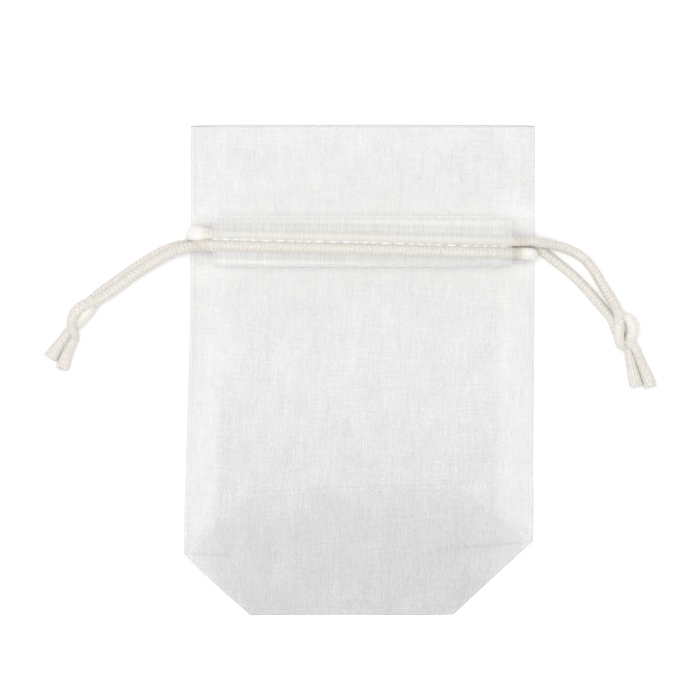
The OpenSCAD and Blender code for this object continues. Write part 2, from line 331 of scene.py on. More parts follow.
def cap(verts, faces, uvs, ring, ring_uv, centre, flip):
    """Closes a tube's end with a slightly uneven cut face."""
    base, n = len(verts), len(ring)
    inner = centre + (ring - centre) * 0.55
    verts += list(ring) + list(inner) + [centre]
    uvs += list(ring_uv) + list(ring_uv * [1, 0.6]) + [ring_uv[0]]
    for k in range(n - 1):
        a, b = base + k, base + k + 1
        quad = (a, b, b + n, a + n)
        tri = (a + n, b + n, base + 2 * n)
        faces.append(quad[::-1] if flip else quad)
        faces.append(tri[::-1] if flip else tri)


def tube_object(name, rings, uvs, caps=(), fibres=None, loose=None, taut_highlight_shade=None):
    """An object from rings, with its caps and fibres. loose and taut_highlight_shade are one value a ring, for the
    material; caps and fibres get a full painted highlight, and rings given no such values a mild one.
    """
    n, sides = rings.shape[0], rings.shape[1]
    verts, uv = list(rings.reshape(-1, 3)), list(uvs.reshape(-1, 2))
    faces = []
    for i in range(n - 1):
        for k in range(sides - 1):
            a = i * sides + k
            faces.append((a, a + 1, a + sides + 1, a + sides))
    mark = list(np.repeat(loose if loose is not None else np.zeros(n), sides))
    highlight_shade_marks = list(np.repeat(taut_highlight_shade if taut_highlight_shade is not None else np.full(n, 0.5), sides))
    for which, centre in caps:
        i = 0 if which == 0 else n - 1
        before = len(verts)
        cap(verts, faces, uv, rings[i], uvs[i], centre, which == 0)
        mark += [1.0] * (len(verts) - before)
    for fibre in fibres or []:
        base, m = len(verts), fibre.shape[0]
        verts += list(fibre.reshape(-1, 3))
        uv += [(0.001, 0.5)] * (m * fibre.shape[1])
        mark += [1.0] * (m * fibre.shape[1])
        for i in range(m - 1):
            for k in range(fibre.shape[1] - 1):
                a = base + i * fibre.shape[1] + k
                faces.append((a, a + 1, a + fibre.shape[1] + 1, a + fibre.shape[1]))
    obj = new_object(name, verts, faces, uv, {"loose": mark, "taut_highlight_shade": highlight_shade_marks + [1.0] * (len(verts) - len(highlight_shade_marks))})
    obj.data.validate()
    return obj


# ---------------------------------------------------------------- materials


def nodes_of(name):
    """A new material, with its node tree and its shader."""
    mat = bpy.data.materials.new(name)
    mat.use_nodes = True
    tree = mat.node_tree
    return mat, tree, tree.nodes["Principled BSDF"]


def maths(tree, operation, a, b=None, c=None, clamp=False):
    """The result of a Math node, whose inputs are numbers or other nodes' results."""
    made = tree.nodes.new("ShaderNodeMath")
    made.operation, made.use_clamp = operation, clamp
    for i, value in enumerate((a, b, c)):
        if value is None:
            continue
        if hasattr(value, "is_output"):
            tree.links.new(value, made.inputs[i])
        else:
            made.inputs[i].default_value = value
    return made.outputs[0]


def grain(tree, coords, scale, detail=1.0, rough=0.5, seed=0.0):
    """A noise of that many features a metre along and across the cloth, centred on 0."""
    stretch = tree.nodes.new("ShaderNodeVectorMath")
    stretch.operation = "MULTIPLY_ADD"
    stretch.inputs[1].default_value = scale
    stretch.inputs[2].default_value = (seed, seed * 1.7, seed * 0.3)
    tree.links.new(coords, stretch.inputs[0])
    noise = tree.nodes.new("ShaderNodeTexNoise")
    noise.inputs["Scale"].default_value = 1
    noise.inputs["Detail"].default_value = detail
    noise.inputs["Roughness"].default_value = rough
    tree.links.new(stretch.outputs[0], noise.inputs["Vector"])
    return maths(tree, "SUBTRACT", noise.outputs[0], 0.5)


def attribute(tree, name):
    """A named value of the mesh."""
    made = tree.nodes.new("ShaderNodeAttribute")
    made.attribute_name = name
    return made.outputs["Fac"]


def mix_colour(tree, fac, a, b):
    """From a to b by fac. Each is a colour or a node's result."""
    made = tree.nodes.new("ShaderNodeMix")
    made.data_type = "RGBA"
    tree.links.new(fac, made.inputs[0])
    for socket, value in ((made.inputs[6], a), (made.inputs[7], b)):
        if hasattr(value, "is_output"):
            tree.links.new(value, socket)
        else:
            socket.default_value = value
    return made.outputs[2]


def pattern_place(tree):
    """The UV map as a vector, and its two numbers: metres along, and across or round."""
    uv = tree.nodes.new("ShaderNodeUVMap")
    uv.uv_map = "UVMap"
    split = tree.nodes.new("ShaderNodeSeparateXYZ")
    tree.links.new(uv.outputs[0], split.inputs[0])
    return uv.outputs[0], split.outputs[0], split.outputs[1]


def finish_look(tree, shader, tone, height, strength, distance, **values):
    """Sets the colour, the fine relief and the shader's constants."""
    tree.links.new(tone, shader.inputs["Base Color"])
    for key, value in values.items():
        shader.inputs[key.replace("_", " ")].default_value = value
    relief = tree.nodes.new("ShaderNodeBump")
    relief.inputs["Strength"].default_value = strength
    relief.inputs["Distance"].default_value = distance
    tree.links.new(height, relief.inputs["Height"])
    tree.links.new(relief.outputs[0], shader.inputs["Normal"])


def organza(name, cover, dark, light, seed, unevenness=1.0):
    """Sheer plain weave: cover is the share of light that one ply stops.

    The mesh says where a ply covers more, for its density and for painted light and shade (ply_cover), where edges
    and painted shadow lines read dark (edge_dark) and where a fold carries a painted highlight (fold_light).
    """
    mat, tree, shader = nodes_of(name)
    coords, across, up = pattern_place(tree)
    warp = grain(tree, coords, (2250, 150, 1), 2, 0.6, seed)
    weft = grain(tree, coords, (170, 2100, 1), 2, 0.6, seed + 4)
    slub = grain(tree, coords, (420, 28, 1), 1, 0.5, seed + 9)
    cloud = grain(tree, coords, (110, 90, 1), 2, 0.55, seed + 13)
    threads_x = maths(tree, "SINE", maths(tree, "MULTIPLY", across, math.tau / 0.00036))
    threads_y = maths(tree, "SINE", maths(tree, "MULTIPLY", up, math.tau / 0.00039))
    weave = maths(tree, "MULTIPLY", maths(tree, "MAXIMUM", threads_x, threads_y), 0.06)
    pattern = maths(tree, "MULTIPLY_ADD", warp, 2.3, weave)
    pattern = maths(tree, "MULTIPLY_ADD", weft, 0.75, pattern)
    pattern = maths(tree, "MULTIPLY_ADD", slub, 0.4, pattern)
    pattern = maths(tree, "MULTIPLY_ADD", cloud, 0.55, pattern)
    density = attribute(tree, "ply_cover")
    cover_now = maths(tree, "MULTIPLY", maths(tree, "MULTIPLY_ADD", pattern, unevenness, 1.0), density)
    cover_now = maths(tree, "MULTIPLY", cover_now, cover)
    line = attribute(tree, "edge_dark")
    painted_highlight = attribute(tree, "fold_light")
    alpha = maths(tree, "MULTIPLY_ADD", line, 0.4, cover_now)
    alpha = maths(tree, "MULTIPLY_ADD", painted_highlight, 0.3, alpha, clamp=True)
    tree.links.new(alpha, shader.inputs["Alpha"])
    tone = mix_colour(tree, maths(tree, "MULTIPLY_ADD", warp, 1.6, 0.5, clamp=True), dark, light)
    # Edge lines and painted shadow lines darken the tone; painted highlights on folds whiten it.
    tone = mix_colour(tree, line, tone, (0.42, 0.42, 0.42, 1))
    tone = mix_colour(tree, painted_highlight, tone, (0.96, 0.96, 0.95, 1))
    finish_look(tree, shader, tone, pattern, 0.25, 0.0001,
                Roughness=0.55, Specular_IOR_Level=0.3, Sheen_Weight=0.25, Sheen_Roughness=0.4)
    return mat


def plaited(name, deep, high):
    """Round satin cord, plaited, whose ends come apart into lengthwise fibres.

    The mesh says where it has come apart (loose), and in taut_highlight_shade where it is stretched smooth with a
    painted highlight (above 0) and where painted shade darkens it (below 0).
    """
    mat, tree, shader = nodes_of(name)
    coords, length, turn = pattern_place(tree)
    along = maths(tree, "MULTIPLY", length, math.tau / (PLAIT * MM))
    zigzag = maths(tree, "PINGPONG", maths(tree, "MULTIPLY", turn, 8.0), 1.0)
    plait = maths(tree, "SINE", maths(tree, "MULTIPLY_ADD", zigzag, math.tau * 0.42, along))
    fine = maths(tree, "SINE", maths(tree, "MULTIPLY", length, math.tau / 0.00042))
    fibre = maths(tree, "SINE", maths(tree, "MULTIPLY", turn, math.tau * 12))
    loose = attribute(tree, "loose")
    taut_highlight_shade = attribute(tree, "taut_highlight_shade")
    speck = grain(tree, coords, (900, 11, 1), 3, 0.6, 2)
    pile = grain(tree, coords, (1900, 19, 1), 2, 0.6, 7)
    tight = maths(tree, "MULTIPLY_ADD", fine, 0.08, maths(tree, "MULTIPLY", plait, 0.15))
    kept = maths(tree, "SUBTRACT", 1.0, maths(tree, "MULTIPLY_ADD", taut_highlight_shade, 1.6, loose), clamp=True)
    tight = maths(tree, "MULTIPLY", tight, kept)
    height = maths(tree, "MULTIPLY_ADD", maths(tree, "MULTIPLY", fibre, loose), 0.22, tight)
    height = maths(tree, "MULTIPLY_ADD", speck, 0.7, height)
    height = maths(tree, "MULTIPLY_ADD", pile, 1.8, height)
    # The taut marks carry painted highlight and painted shade into the tone, which mixes toward near white where they
    # are above 0.
    shade = maths(tree, "MULTIPLY_ADD", taut_highlight_shade, 0.3, maths(tree, "MULTIPLY_ADD", height, 0.62, 0.48), clamp=True)
    tone = mix_colour(tree, shade, deep, high)
    painted_highlight_share = maths(tree, "POWER", maths(tree, "MAXIMUM", taut_highlight_shade, 0.0), 2.0, clamp=True)
    tone = mix_colour(tree, painted_highlight_share, tone, (0.785, 0.777, 0.757, 1))
    finish_look(tree, shader, tone, height, 0.6, 0.00016,
                Roughness=0.42, Specular_IOR_Level=0.4, Sheen_Weight=0.3, Sheen_Roughness=0.35)
    return mat


def sewing_thread(name):
    """Fine twisted thread."""
    mat, tree, shader = nodes_of(name)
    _, length, turn = pattern_place(tree)
    along = maths(tree, "MULTIPLY", length, math.tau / 0.0005)
    twist = maths(tree, "SINE", maths(tree, "ADD", along, maths(tree, "MULTIPLY", turn, math.tau)))
    shade = maths(tree, "MULTIPLY_ADD", twist, 0.4, 0.5, clamp=True)
    tone = mix_colour(tree, shade, (0.60, 0.615, 0.59, 1), (0.80, 0.815, 0.79, 1))
    finish_look(tree, shader, tone, twist, 0.5, 0.00004, Roughness=0.5, Sheen_Weight=0.2)
    return mat


SHADE, SHINE = (0.49, 0.488, 0.487, 1), (0.73, 0.728, 0.727, 1)
BODY_CLOTH = organza("organza_body", 0.228, SHADE, SHINE, 0.0)
BACK_CLOTH = organza("organza_back", 0.228, SHADE, SHINE, 21.0)
# The casing's organza is the body's, given a brighter tone as painted light over the cords' shadows.
CASING_CLOTH = organza("organza_casing", 0.2, (0.805, 0.81, 0.785, 1), (0.90, 0.905, 0.88, 1), 33.0, 0.17)
CASING_BACK_CLOTH = organza("organza_casing_back", 0.05, SHADE, SHINE, 39.0)
BASE_CLOTH = organza("organza_base", 0.178, SHADE, SHINE, 47.0)
SEAM_CLOTH = organza("organza_seam", 0.26, SHADE, SHINE, 58.0)
THREAD = sewing_thread("thread_white")
CORD = plaited("cord_ivory", (0.51, 0.476, 0.416, 1), (0.86, 0.834, 0.79, 1))


def dress(obj, mat):
    """Gives a piece its material."""
    obj.data.materials.append(mat)
    return obj


# ---------------------------------------------------------------- camera, floor and light
# The camera looks straight down on the laid pouch. The world is an even white, with one soft light.
camera = bpy.data.objects.new("camera", bpy.data.cameras.new("camera"))
bpy.context.scene.collection.objects.link(camera)
VIEW_H, VIEW_W = 1.2, 0.2142  # the camera's height over the cloth, and the width in view there
camera.location = (-0.0029, 0.0063, VIEW_H + 0.004)
camera.data.sensor_width = 36
camera.data.lens = 36 * VIEW_H / VIEW_W
camera.data.clip_end = 10
bpy.context.scene.camera = camera

floor_mesh = bpy.data.meshes.new("floor")
FLOOR_Z = -0.00006
floor_mesh.from_pydata([(x, y, FLOOR_Z) for x, y in ((-3, -3), (3, -3), (3, 3), (-3, 3))], [], [(0, 1, 2, 3)])
floor = bpy.data.objects.new("floor", floor_mesh)
bpy.context.scene.collection.objects.link(floor)
floor_mat, floor_tree, floor_shader = nodes_of("floor_white")
floor_shader.inputs["Base Color"].default_value = (0.97, 0.97, 0.97, 1)
floor_shader.inputs["Roughness"].default_value = 0.9
floor_shader.inputs["Specular IOR Level"].default_value = 0.0
floor.data.materials.append(floor_mat)

world = bpy.data.worlds.new("studio")
bpy.context.scene.world = world
world.use_nodes = True
world.node_tree.nodes["Background"].inputs[0].default_value = (1, 1, 1, 1)
world.node_tree.nodes["Background"].inputs[1].default_value = 0.82

light = bpy.data.objects.new("key_light", bpy.data.lights.new("key_light", "AREA"))
light.data.size, light.data.energy = 0.8, 12
light.location = (-0.15, 0.02, 1.6)
light.rotation_euler = (-light.location).to_track_quat("-Z", "Y").to_euler()
bpy.context.scene.collection.objects.link(light)
bpy.context.scene.view_settings.view_transform = "Standard"
bpy.context.scene.view_settings.look = "None"

# ---------------------------------------------------------------- cords
# Each drawstring is one cord: tip, knot, tail, along the front casing, round a side seam, back along
# the back casing, tail, knot, tip. Points in mm.
RIGHT_FRONT = [
    [84.8, -4.4, 1.6], [83.9, -0.6, 1.7], [83.1, 3.0, 2.0], [82.5, 5.6, 2.2], [81.6, 7.3, 2.6],
    [80.3, 7.6, 3.8], [79.5, 8.9, 5.2], [79.2, 11.2, 6.1], [79.4, 14.2, 6.1], [79.2, 17.2, 4.9],
    [77.2, 21.8, 2.8], [74.6, 26.2, 1.8], [72, 30.6, 1.6], [68.5, 34.6, 1.6], [64, 37.2, 1.7],
    [60.5, 38.3, 2.8], [57.6, 38.9, 4.6], [55.6, 39.1, 5.9], [54, 39.3, 7], [50, 39.5, 8.3], [47.2, 39.6, 8.8],
]
RIGHT_BACK = [
    [47.2, 39.6, 2], [50, 39.4, 2], [54, 38, 1.9], [57.6, 35.4, 1.7], [60.6, 33, 1.6],
    [64.8, 29.6, 1.6], [68.9, 25.6, 1.6], [72.4, 21.6, 1.6], [75.7, 17.8, 1.8], [77.5, 15.4, 2.0],
    [78.5, 12.8, 2.3], [80.0, 10.6, 2.9], [82.2, 9.0, 3.4], [84.3, 6.9, 3.1], [85.9, 3.4, 2.2], [87.5, -0.4, 1.8],
    [89.2, -4.6, 1.8],
]
LEFT_FRONT = [
    [-91.0, 0.8, 1.6], [-90.1, 3.9, 1.7], [-88.4, 7.8, 2.2], [-87.3, 10.4, 2.8], [-87.6, 11.8, 4.0],
    [-88.0, 13.6, 5.3], [-87.7, 16.0, 6.0], [-86.2, 18.3, 6.0], [-84.0, 19.9, 5.3], [-81.2, 21.0, 4.6],
    [-78, 22.8, 4.2], [-74.4, 25.2, 4.1], [-68, 29.9, 4.1], [-62.5, 33.3, 4.2], [-58.2, 35.7, 5.1],
    [-55.6, 36.7, 6.2], [-54, 37.2, 7], [-51.4, 37.8, 8], [-47.2, 38.2, 8.8],
]
LEFT_BACK = [
    [-47.2, 38.3, 2], [-51.4, 38.6, 1.9], [-54, 38.5, 1.9], [-58.8, 37.3, 1.7], [-63.4, 35, 1.6], [-69, 31.5, 1.6],
    [-75.5, 26.9, 1.6], [-80, 23.6, 1.7], [-82.4, 21.2, 2.0], [-84.4, 18.4, 2.4], [-86.6, 15.2, 2.8],
    [-88.9, 12.2, 3.0], [-91.0, 9.2, 2.4], [-93.0, 6.5, 1.8], [-94.6, 4.2, 1.7],
]


def held_route(turn_side, line, reach):
    """The stretch that the casings hold, from the front exit round the seam to the back exit."""
    out = []
    exit_x = -turn_side * CAS_X
    for x in np.linspace(exit_x, turn_side * HELD_X, 14):
        out.append([x, line(x), front_plain(x) + PRESSED_Z])
    top, low = front_plain(TURN_X) + PRESSED_Z, 2.0
    r = (top - low) / 2
    y = line(turn_side * TURN_X)
    for i in range(1, 8):
        a = math.radians(90 - 180 * i / 8)
        out.append([turn_side * (TURN_X + reach + r * math.cos(a)), y, low + r + r * math.sin(a)])
    for x in np.linspace(turn_side * HELD_X, exit_x, 14):
        out.append([x, line(x), low])
    return out


def drawstring(side, front, back, turn_side, line, reach, fat):
    """Makes a drawstring's three lengths: the front strand, the held loop and the back strand."""
    name = "right" if side > 0 else "left"
    held = held_route(turn_side, line, reach)
    path, s = spline(front + held + back, PATH_STEP)
    beyond = side * path[:, 0] > EXIT_X
    middle = len(path) // 2
    first = max(i for i in range(middle) if beyond[i]) + 1
    last = min(i for i in range(middle, len(path)) if beyond[i])
    turn_at = s[np.argmin(path[:, 0] * side)]
    knot = np.array([81.2, 12, 4.3] if side > 0 else [-84.7, 17.5, 4.3])
    near_knot = np.linalg.norm(path - knot, axis=1)
    total = s[-1]

    def radius(at):
        r = CORD_R * (1 + fat * math.exp(-(((at - turn_at + 2.2) / 3.4) ** 2)))
        i = int(np.searchsorted(s, at))
        i = min(i, len(path) - 1)
        lobe = (0.16 if side > 0 else 0.26) * math.exp(-((near_knot[i] / 4.6) ** 4))
        pressed = 0.29 * float(smooth(52.5, 47.5, abs(path[i][0])))
        tip = min(at, total - at)
        splay = 0.24 * math.exp(-((tip / 5.0) ** 2)) - 0.16 * math.exp(-(((tip - 12.5) / 3.5) ** 2))
        flat = 0.18 * math.exp(-((tip / 6.0) ** 2))
        wide = r * (1 + lobe + splay + flat * 0.6 + pressed)
        high = r * (1 + lobe + splay * 0.2 - flat * 0.55 - 0.4 * pressed)
        return wide, high

    rings, uvs = tube(path, s, radius, CORD_SIDES, (0, 0.05, 1), 0.017)
    rng = np.random.default_rng(5 if side > 0 else 6)
    for end, inward in ((0, 1), (len(path) - 1, -1)):
        out = path[end] - path[end + inward * 6]
        out /= np.linalg.norm(out)
        jag = rng.uniform(-0.3, 0.35, rings.shape[1])
        jag[-1] = jag[0]
        rings[end] += np.outer(jag, out)
        for ring in (end, end + inward, end + 2 * inward):
            rings[ring][:, 2] = np.maximum(rings[ring][:, 2], 0.12)
    loose = np.exp(-((np.minimum(s, total - s) / 12.5) ** 6))
    turn = math.tau * np.arange(rings.shape[1]) / (rings.shape[1] - 1)
    ridges = 1 + 0.022 * loose[:, None] * (np.cos(11 * turn) + np.cos(7 * turn + 1.3))
    rings = path[:, None] + (rings - path[:, None]) * ridges[..., None]
    # Painted highlight on the bight round the seam and on the knot, and painted shade where the cords come out by the
    # casing's ends.
    lead, half = (1.5, 4.2) if fat > 0.3 else (2.2, 3.2)
    taut_highlight_shade = np.exp(-(((s - turn_at + lead) / half) ** 4)) - 0.7 * bump(side * path[:, 0], 48.8, 2.6)
    if side < 0:
        taut_highlight_shade -= 1.3 * bump(path[:, 0], 47.8, 1.8)
    taut_highlight_shade = taut_highlight_shade + (0.25 if side > 0 else 0.05) * np.exp(-((near_knot / 6.5) ** 6))

    def fibres(end, inward):
        """The short loose fibres that stand out of a cut end."""
        made = []
        out = path[end] - path[end + inward * 6]
        out /= np.linalg.norm(out)
        for _ in range(46):
            k = rng.integers(0, rings.shape[1])
            edge = rings[end + inward * 2][k]
            share = rng.uniform(0.25, 1.0)
            start = path[end + inward * 2] + (edge - path[end + inward * 2]) * share
            aside = rng.normal(0, 0.17, 3) + (edge - path[end + inward * 2]) * 0.12
            length = rng.uniform(0.7, 1.8)
            pts = np.array([start + out * length * t + aside * t * t * length for t in np.linspace(0, 1, 5)])
            pts[:, 2] = np.maximum(pts[:, 2], 0.15)
            thick = rng.uniform(0.07, 0.13)
            reached = np.linspace(0, length, 5)
            fibre, _ = tube(pts, reached, lambda q: (thick * (1.05 - 0.6 * q / length),) * 2, 5, (0, 0, 1))
            made.append(fibre)
        return made

    made = {}
    tip = len(path) - 1
    parts = (
        ("front_strand", 0, first + 1, [(0, path[0] + (path[0] - path[2]) * 0.8)], fibres(0, 1)),
        ("loop_cord", first, last + 1, [], []),
        ("back_strand", last, tip + 1, [(1, path[tip] + (path[tip] - path[tip - 2]) * 0.8)], fibres(tip, -1)),
    )
    for part, a, b, caps, hairs in parts:
        obj = tube_object(f"{name}_{part}", rings[a:b], uvs[a:b], caps, hairs, loose[a:b], taut_highlight_shade[a:b])
        dress(obj, CORD)
        line_points = path[a:b]
        if part == "front_strand":
            line_points = line_points[::-1]
        made[part] = (obj, line_points)
    return made


def ring_turn(name, points, fat_at, fat):
    """The turn of a knot that shows beside the strands: one closed loop of the same cord."""
    ring_points = points + [points[0]]
    path, s = spline(points[-3:] + ring_points + points[1:3], PATH_STEP)
    start = np.argmin(np.linalg.norm(path[: len(path) // 2] - points[0], axis=1))
    stop = len(path) // 2 + np.argmin(np.linalg.norm(path[len(path) // 2:] - points[0], axis=1))
    path, s = path[start:stop], s[start:stop] - s[start]
    centre = np.array(fat_at)
    away = np.linalg.norm(path - centre, axis=1)

    def radius(at):
        i = min(int(np.searchsorted(s, at)), len(path) - 1)
        r = CORD_R * (0.98 + fat * math.exp(-((away[i] / 3.6) ** 2)))
        return r, r

    rings, uvs = tube(path, s, radius, CORD_SIDES, (0, 0, 1), 0.012, closed=True)
    rings = np.concatenate([rings, rings[:1]])
    uvs = np.concatenate([uvs, uvs[:1] + [[(s[-1] + PATH_STEP) * MM, 0]]])
    rings[..., 2] = np.maximum(rings[..., 2], 0.1)
    return dress(tube_object(name, rings, uvs), CORD)


# Bights: the right drawstring turns round the left seam, and the left one round the right seam.
right = drawstring(1, RIGHT_FRONT, RIGHT_BACK, -1, cord_b, -0.3, 0.5)
left = drawstring(-1, LEFT_FRONT, LEFT_BACK, 1, cord_a, 1.5, 0.22)
right_turn = ring_turn("right_knot_turn", [
    [80.4, 15.4, 3.8], [81.9, 15.9, 5.3], [83.2, 14.2, 5.9], [83.4, 12.0, 5.6], [82.7, 10.2, 4.6],
    [81.4, 9.4, 2.4], [79.6, 10.2, 1.9], [79.0, 13.0, 1.9],
], [83.3, 13.2, 5.7], 0.3)
left_turn = ring_turn("left_knot_turn", [
    [-82.0, 19.6, 3.4], [-82.5, 18.4, 5.0], [-83.9, 16.9, 5.6], [-85.4, 15.3, 5.0], [-86.8, 14.3, 3.2],
    [-87.4, 15.6, 1.9], [-86.2, 18.0, 1.8], [-84.0, 19.8, 1.9],
], [-83.9, 16.9, 5.6], 0.08)

for turn, body, knot_node in ((right_turn, "right_tails", "right_knot"), (left_turn, "left_tails", "left_knot")):
    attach(turn, body)
    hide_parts(knot_node)

for name, made, turn, front_length, back_length in (
    ("right", right, right_turn, 0.062, 0.055),
    ("left", left, left_turn, 0.058, 0.054),
):
    loop, _ = made["loop_cord"]
    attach(loop, f"{name}_drawstring")
    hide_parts(f"{name}_drawstring_loop")
    for end, length in (("front", front_length), ("back", back_length)):
        strand, points = made[f"{end}_strand"]
        start = points[0] * MM
        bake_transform(strand)
        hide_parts(f"{name}_{end}_tail", f"{name}_cord_ends")

# ---------------------------------------------------------------- cloth


def low_front(x):
    """The lower edge of the front cloth: the top of the base, then its slanting edges."""
    return np.where(x < BASE_HALF, BASE_TOP, BASE_TOP - (x - BASE_HALF)) - 0.3


def low_back(x):
    """The lower edge of the back cloth, with the slanting corners below the base seams."""
    return np.where(x < BASE_HALF, BOTTOM, BOTTOM + (x - BASE_HALF))


def side_painted_light(x, y):
    """Painted light: near its side seams the cloth gets less cover and reads lighter, most of all low down."""
    return 1 - (0.05 + 0.1 * smooth(50, 25, y) + 0.13 * smooth(10, -30, y)) * smooth(40.5, 43.5, np.abs(x))


def body_painted_light_and_shade(y):
    """Painted light and shade: less cover round the casing lifts the shadow it casts, and more cover darkens the
    cloth toward the base as painted shade.
    """
    beside = bump(y, CAS_Y0 - 0.8, 2.4) + bump(y, CAS_Y1 + 0.8, 2.4)
    return 1 + 0.25 * smooth(16, -36, y) - 0.17 * smooth(16, 30, y) * smooth(64, 50, y) - 0.33 * beside


def in_casing(x, y):
    """1 where the casings double the cloth and 0 elsewhere."""
    return (smooth(CAS_Y0 - 0.4, CAS_Y0 + 0.4, y) * smooth(CAS_Y1 + 0.4, CAS_Y1 - 0.4, y)
            * (0.3 + 0.7 * smooth(CAS_X + 0.4, CAS_X - 0.4, np.abs(x))))


def front_marks(x, y):
    """Front cloth: darker below with painted shade, painted light round the casing and near the side seams, a hem at
    the mouth, and faint stitches from the casing's ends to the seams.
    """
    # Less cover in the casing band and beyond the casing's ends: painted light that lifts the cords' shadow.
    density = side_painted_light(x, y) * body_painted_light_and_shade(y) * (1 - 0.7 * in_casing(x, y))
    line = 1.5 * smooth(MOUTH - 0.5, MOUTH - 0.2, y) + 0.7 * smooth(HALF_W - 0.4, HALF_W, np.abs(x))
    line = np.maximum(line, 0.15 * smooth(0.8, 0.0, y - low_front(np.abs(x))))
    rows = np.maximum(bump(y, CAS_Y0 + 0.8, 0.25), bump(y, CAS_Y1 - 0.8, 0.25))
    dashes = smooth(HALF_W - 1.5, HALF_W - 3, np.abs(x)) * (0.6 + 0.4 * np.sin(x * 1.96))
    line = np.maximum(line, 0.3 * rows * dashes)
    return {"ply_cover": density, "edge_dark": line, "fold_light": 0 * x}


def back_marks(x, y):
    """Back cloth: the same painted light and shade in its cover, with its own lower edge."""
    # Less cover in the casing band and beyond the casing's ends: painted light that lifts the cords' shadow.
    density = side_painted_light(x, y) * body_painted_light_and_shade(y) * (1 - 0.7 * in_casing(x, y))
    line = 0.6 * smooth(MOUTH - 0.5, MOUTH - 0.1, y) + 0.7 * smooth(0.5, 0, y - low_back(np.abs(x)))
    return {"ply_cover": density, "edge_dark": line, "fold_light": 0 * x}


def casing_marks(x, y):
    """Casing: lightest along the cords that it arches over, with a painted highlight in the valley between the two, a
    painted shadow line under the lower cord, and painted light in its cover.
    """
    line = 0.05 * np.maximum(smooth(0.5, 0, np.abs(y - CAS_Y0)), smooth(0.5, 0, np.abs(y - CAS_Y1)))
    line = np.maximum(line, 0.12 * smooth(0.5, 0, CAS_X - np.abs(x)))
    # Painted shadow: a broken dark line just under the lower cord.
    cord_shadow_y = cord_a(x) - 1.9
    dashes = 0.6 + 0.4 * np.sin(x * 2.2 + 2 * np.sin(x / 5))
    line = np.maximum(line, 0.22 * bump(y, cord_shadow_y, 0.3) * dashes)
    # Painted highlight: a thin broken bright line in the valley between the cords.
    valley = (cord_a(x) + cord_b(x)) / 2
    painted_highlight = 1.9 * bump(y, valley + 0.1, 0.3) * (0.68 + 0.32 * np.sin(x * 1.9 + 1.7 * np.sin(x / 3)))
    # Painted light: more of the bright casing cloth over the upper cord and on the flanks beside the cords, lifting
    # the cords' shadow; less cover on two flat bands as painted shade.
    inward = np.maximum(smooth(0, 1.4, y - CAS_Y0) * (y < 39), 0.9 * smooth(0, 2.2, CAS_Y1 - y) * (y >= 39))
    upper_cord_painted_light = bump(y, cord_b(x), 1.5)
    density = 0.6 + 2.1 * upper_cord_painted_light + (1.2 + 1.9 * inward) * (1 - hump(x, y, 1.7, 0.75))
    density = density - 0.3 * bump(y, CAS_Y1 - 2.6, 1.2) - 0.3 * bump(y, CAS_Y0 + 2.3, 1.1)
    density = density * (1 - 0.35 * smooth(CAS_X - 3, CAS_X, np.abs(x)))
    return {"ply_cover": density, "edge_dark": line, "fold_light": painted_highlight}


def front_casing_z(x, y):
    """Height of the front casing, which arches over the two cords and puckers at its stitches."""
    inside = smooth(0, 1.5, np.minimum(y - CAS_Y0, CAS_Y1 - y))
    over = hump(x, y, 3.2, 1.25)
    pucker = 0.1 * np.sin(x * 1.9 + 1.7 * np.sin(x / 6.1)) + 0.06 * np.sin(x * 3.3 + y)
    return front_plain(x) + 0.35 + 3.4 * over + (0.12 * ripple(x, y, 12, 9) + pucker * (0.5 + 0.5 * over)) * inside


def back_casing_z(x, y):
    """Height of the back casing, which the pouch lies on."""
    return 0.1 + 0.06 * (1 + ripple(x, y, 14, 12))


hem = ((MOUTH - 2, MOUTH - 0.6, 0.35), (MOUTH - 0.6, MOUTH, 0.1))
rows_front = steps((BASE_TOP - 1, -26, 1.2), (-26, 30, 1.4), (30, 49, 0.45), (49, MOUTH - 2, 1.3), *hem)
rows_back = steps((BOTTOM, BOTTOM + 1, 0.25), (BOTTOM + 1, -50, 1.2), (-50, 30, 1.6), (30, 49, 0.45),
                  (49, MOUTH - 2, 1.4), *hem)
casing_rows = steps((CAS_Y0, CAS_Y0 + 1, 0.25), (CAS_Y0 + 1, 35.5, 0.4), (35.5, 42.5, 0.2),
                    (42.5, CAS_Y1 - 1, 0.4), (CAS_Y1 - 1, CAS_Y1, 0.25))

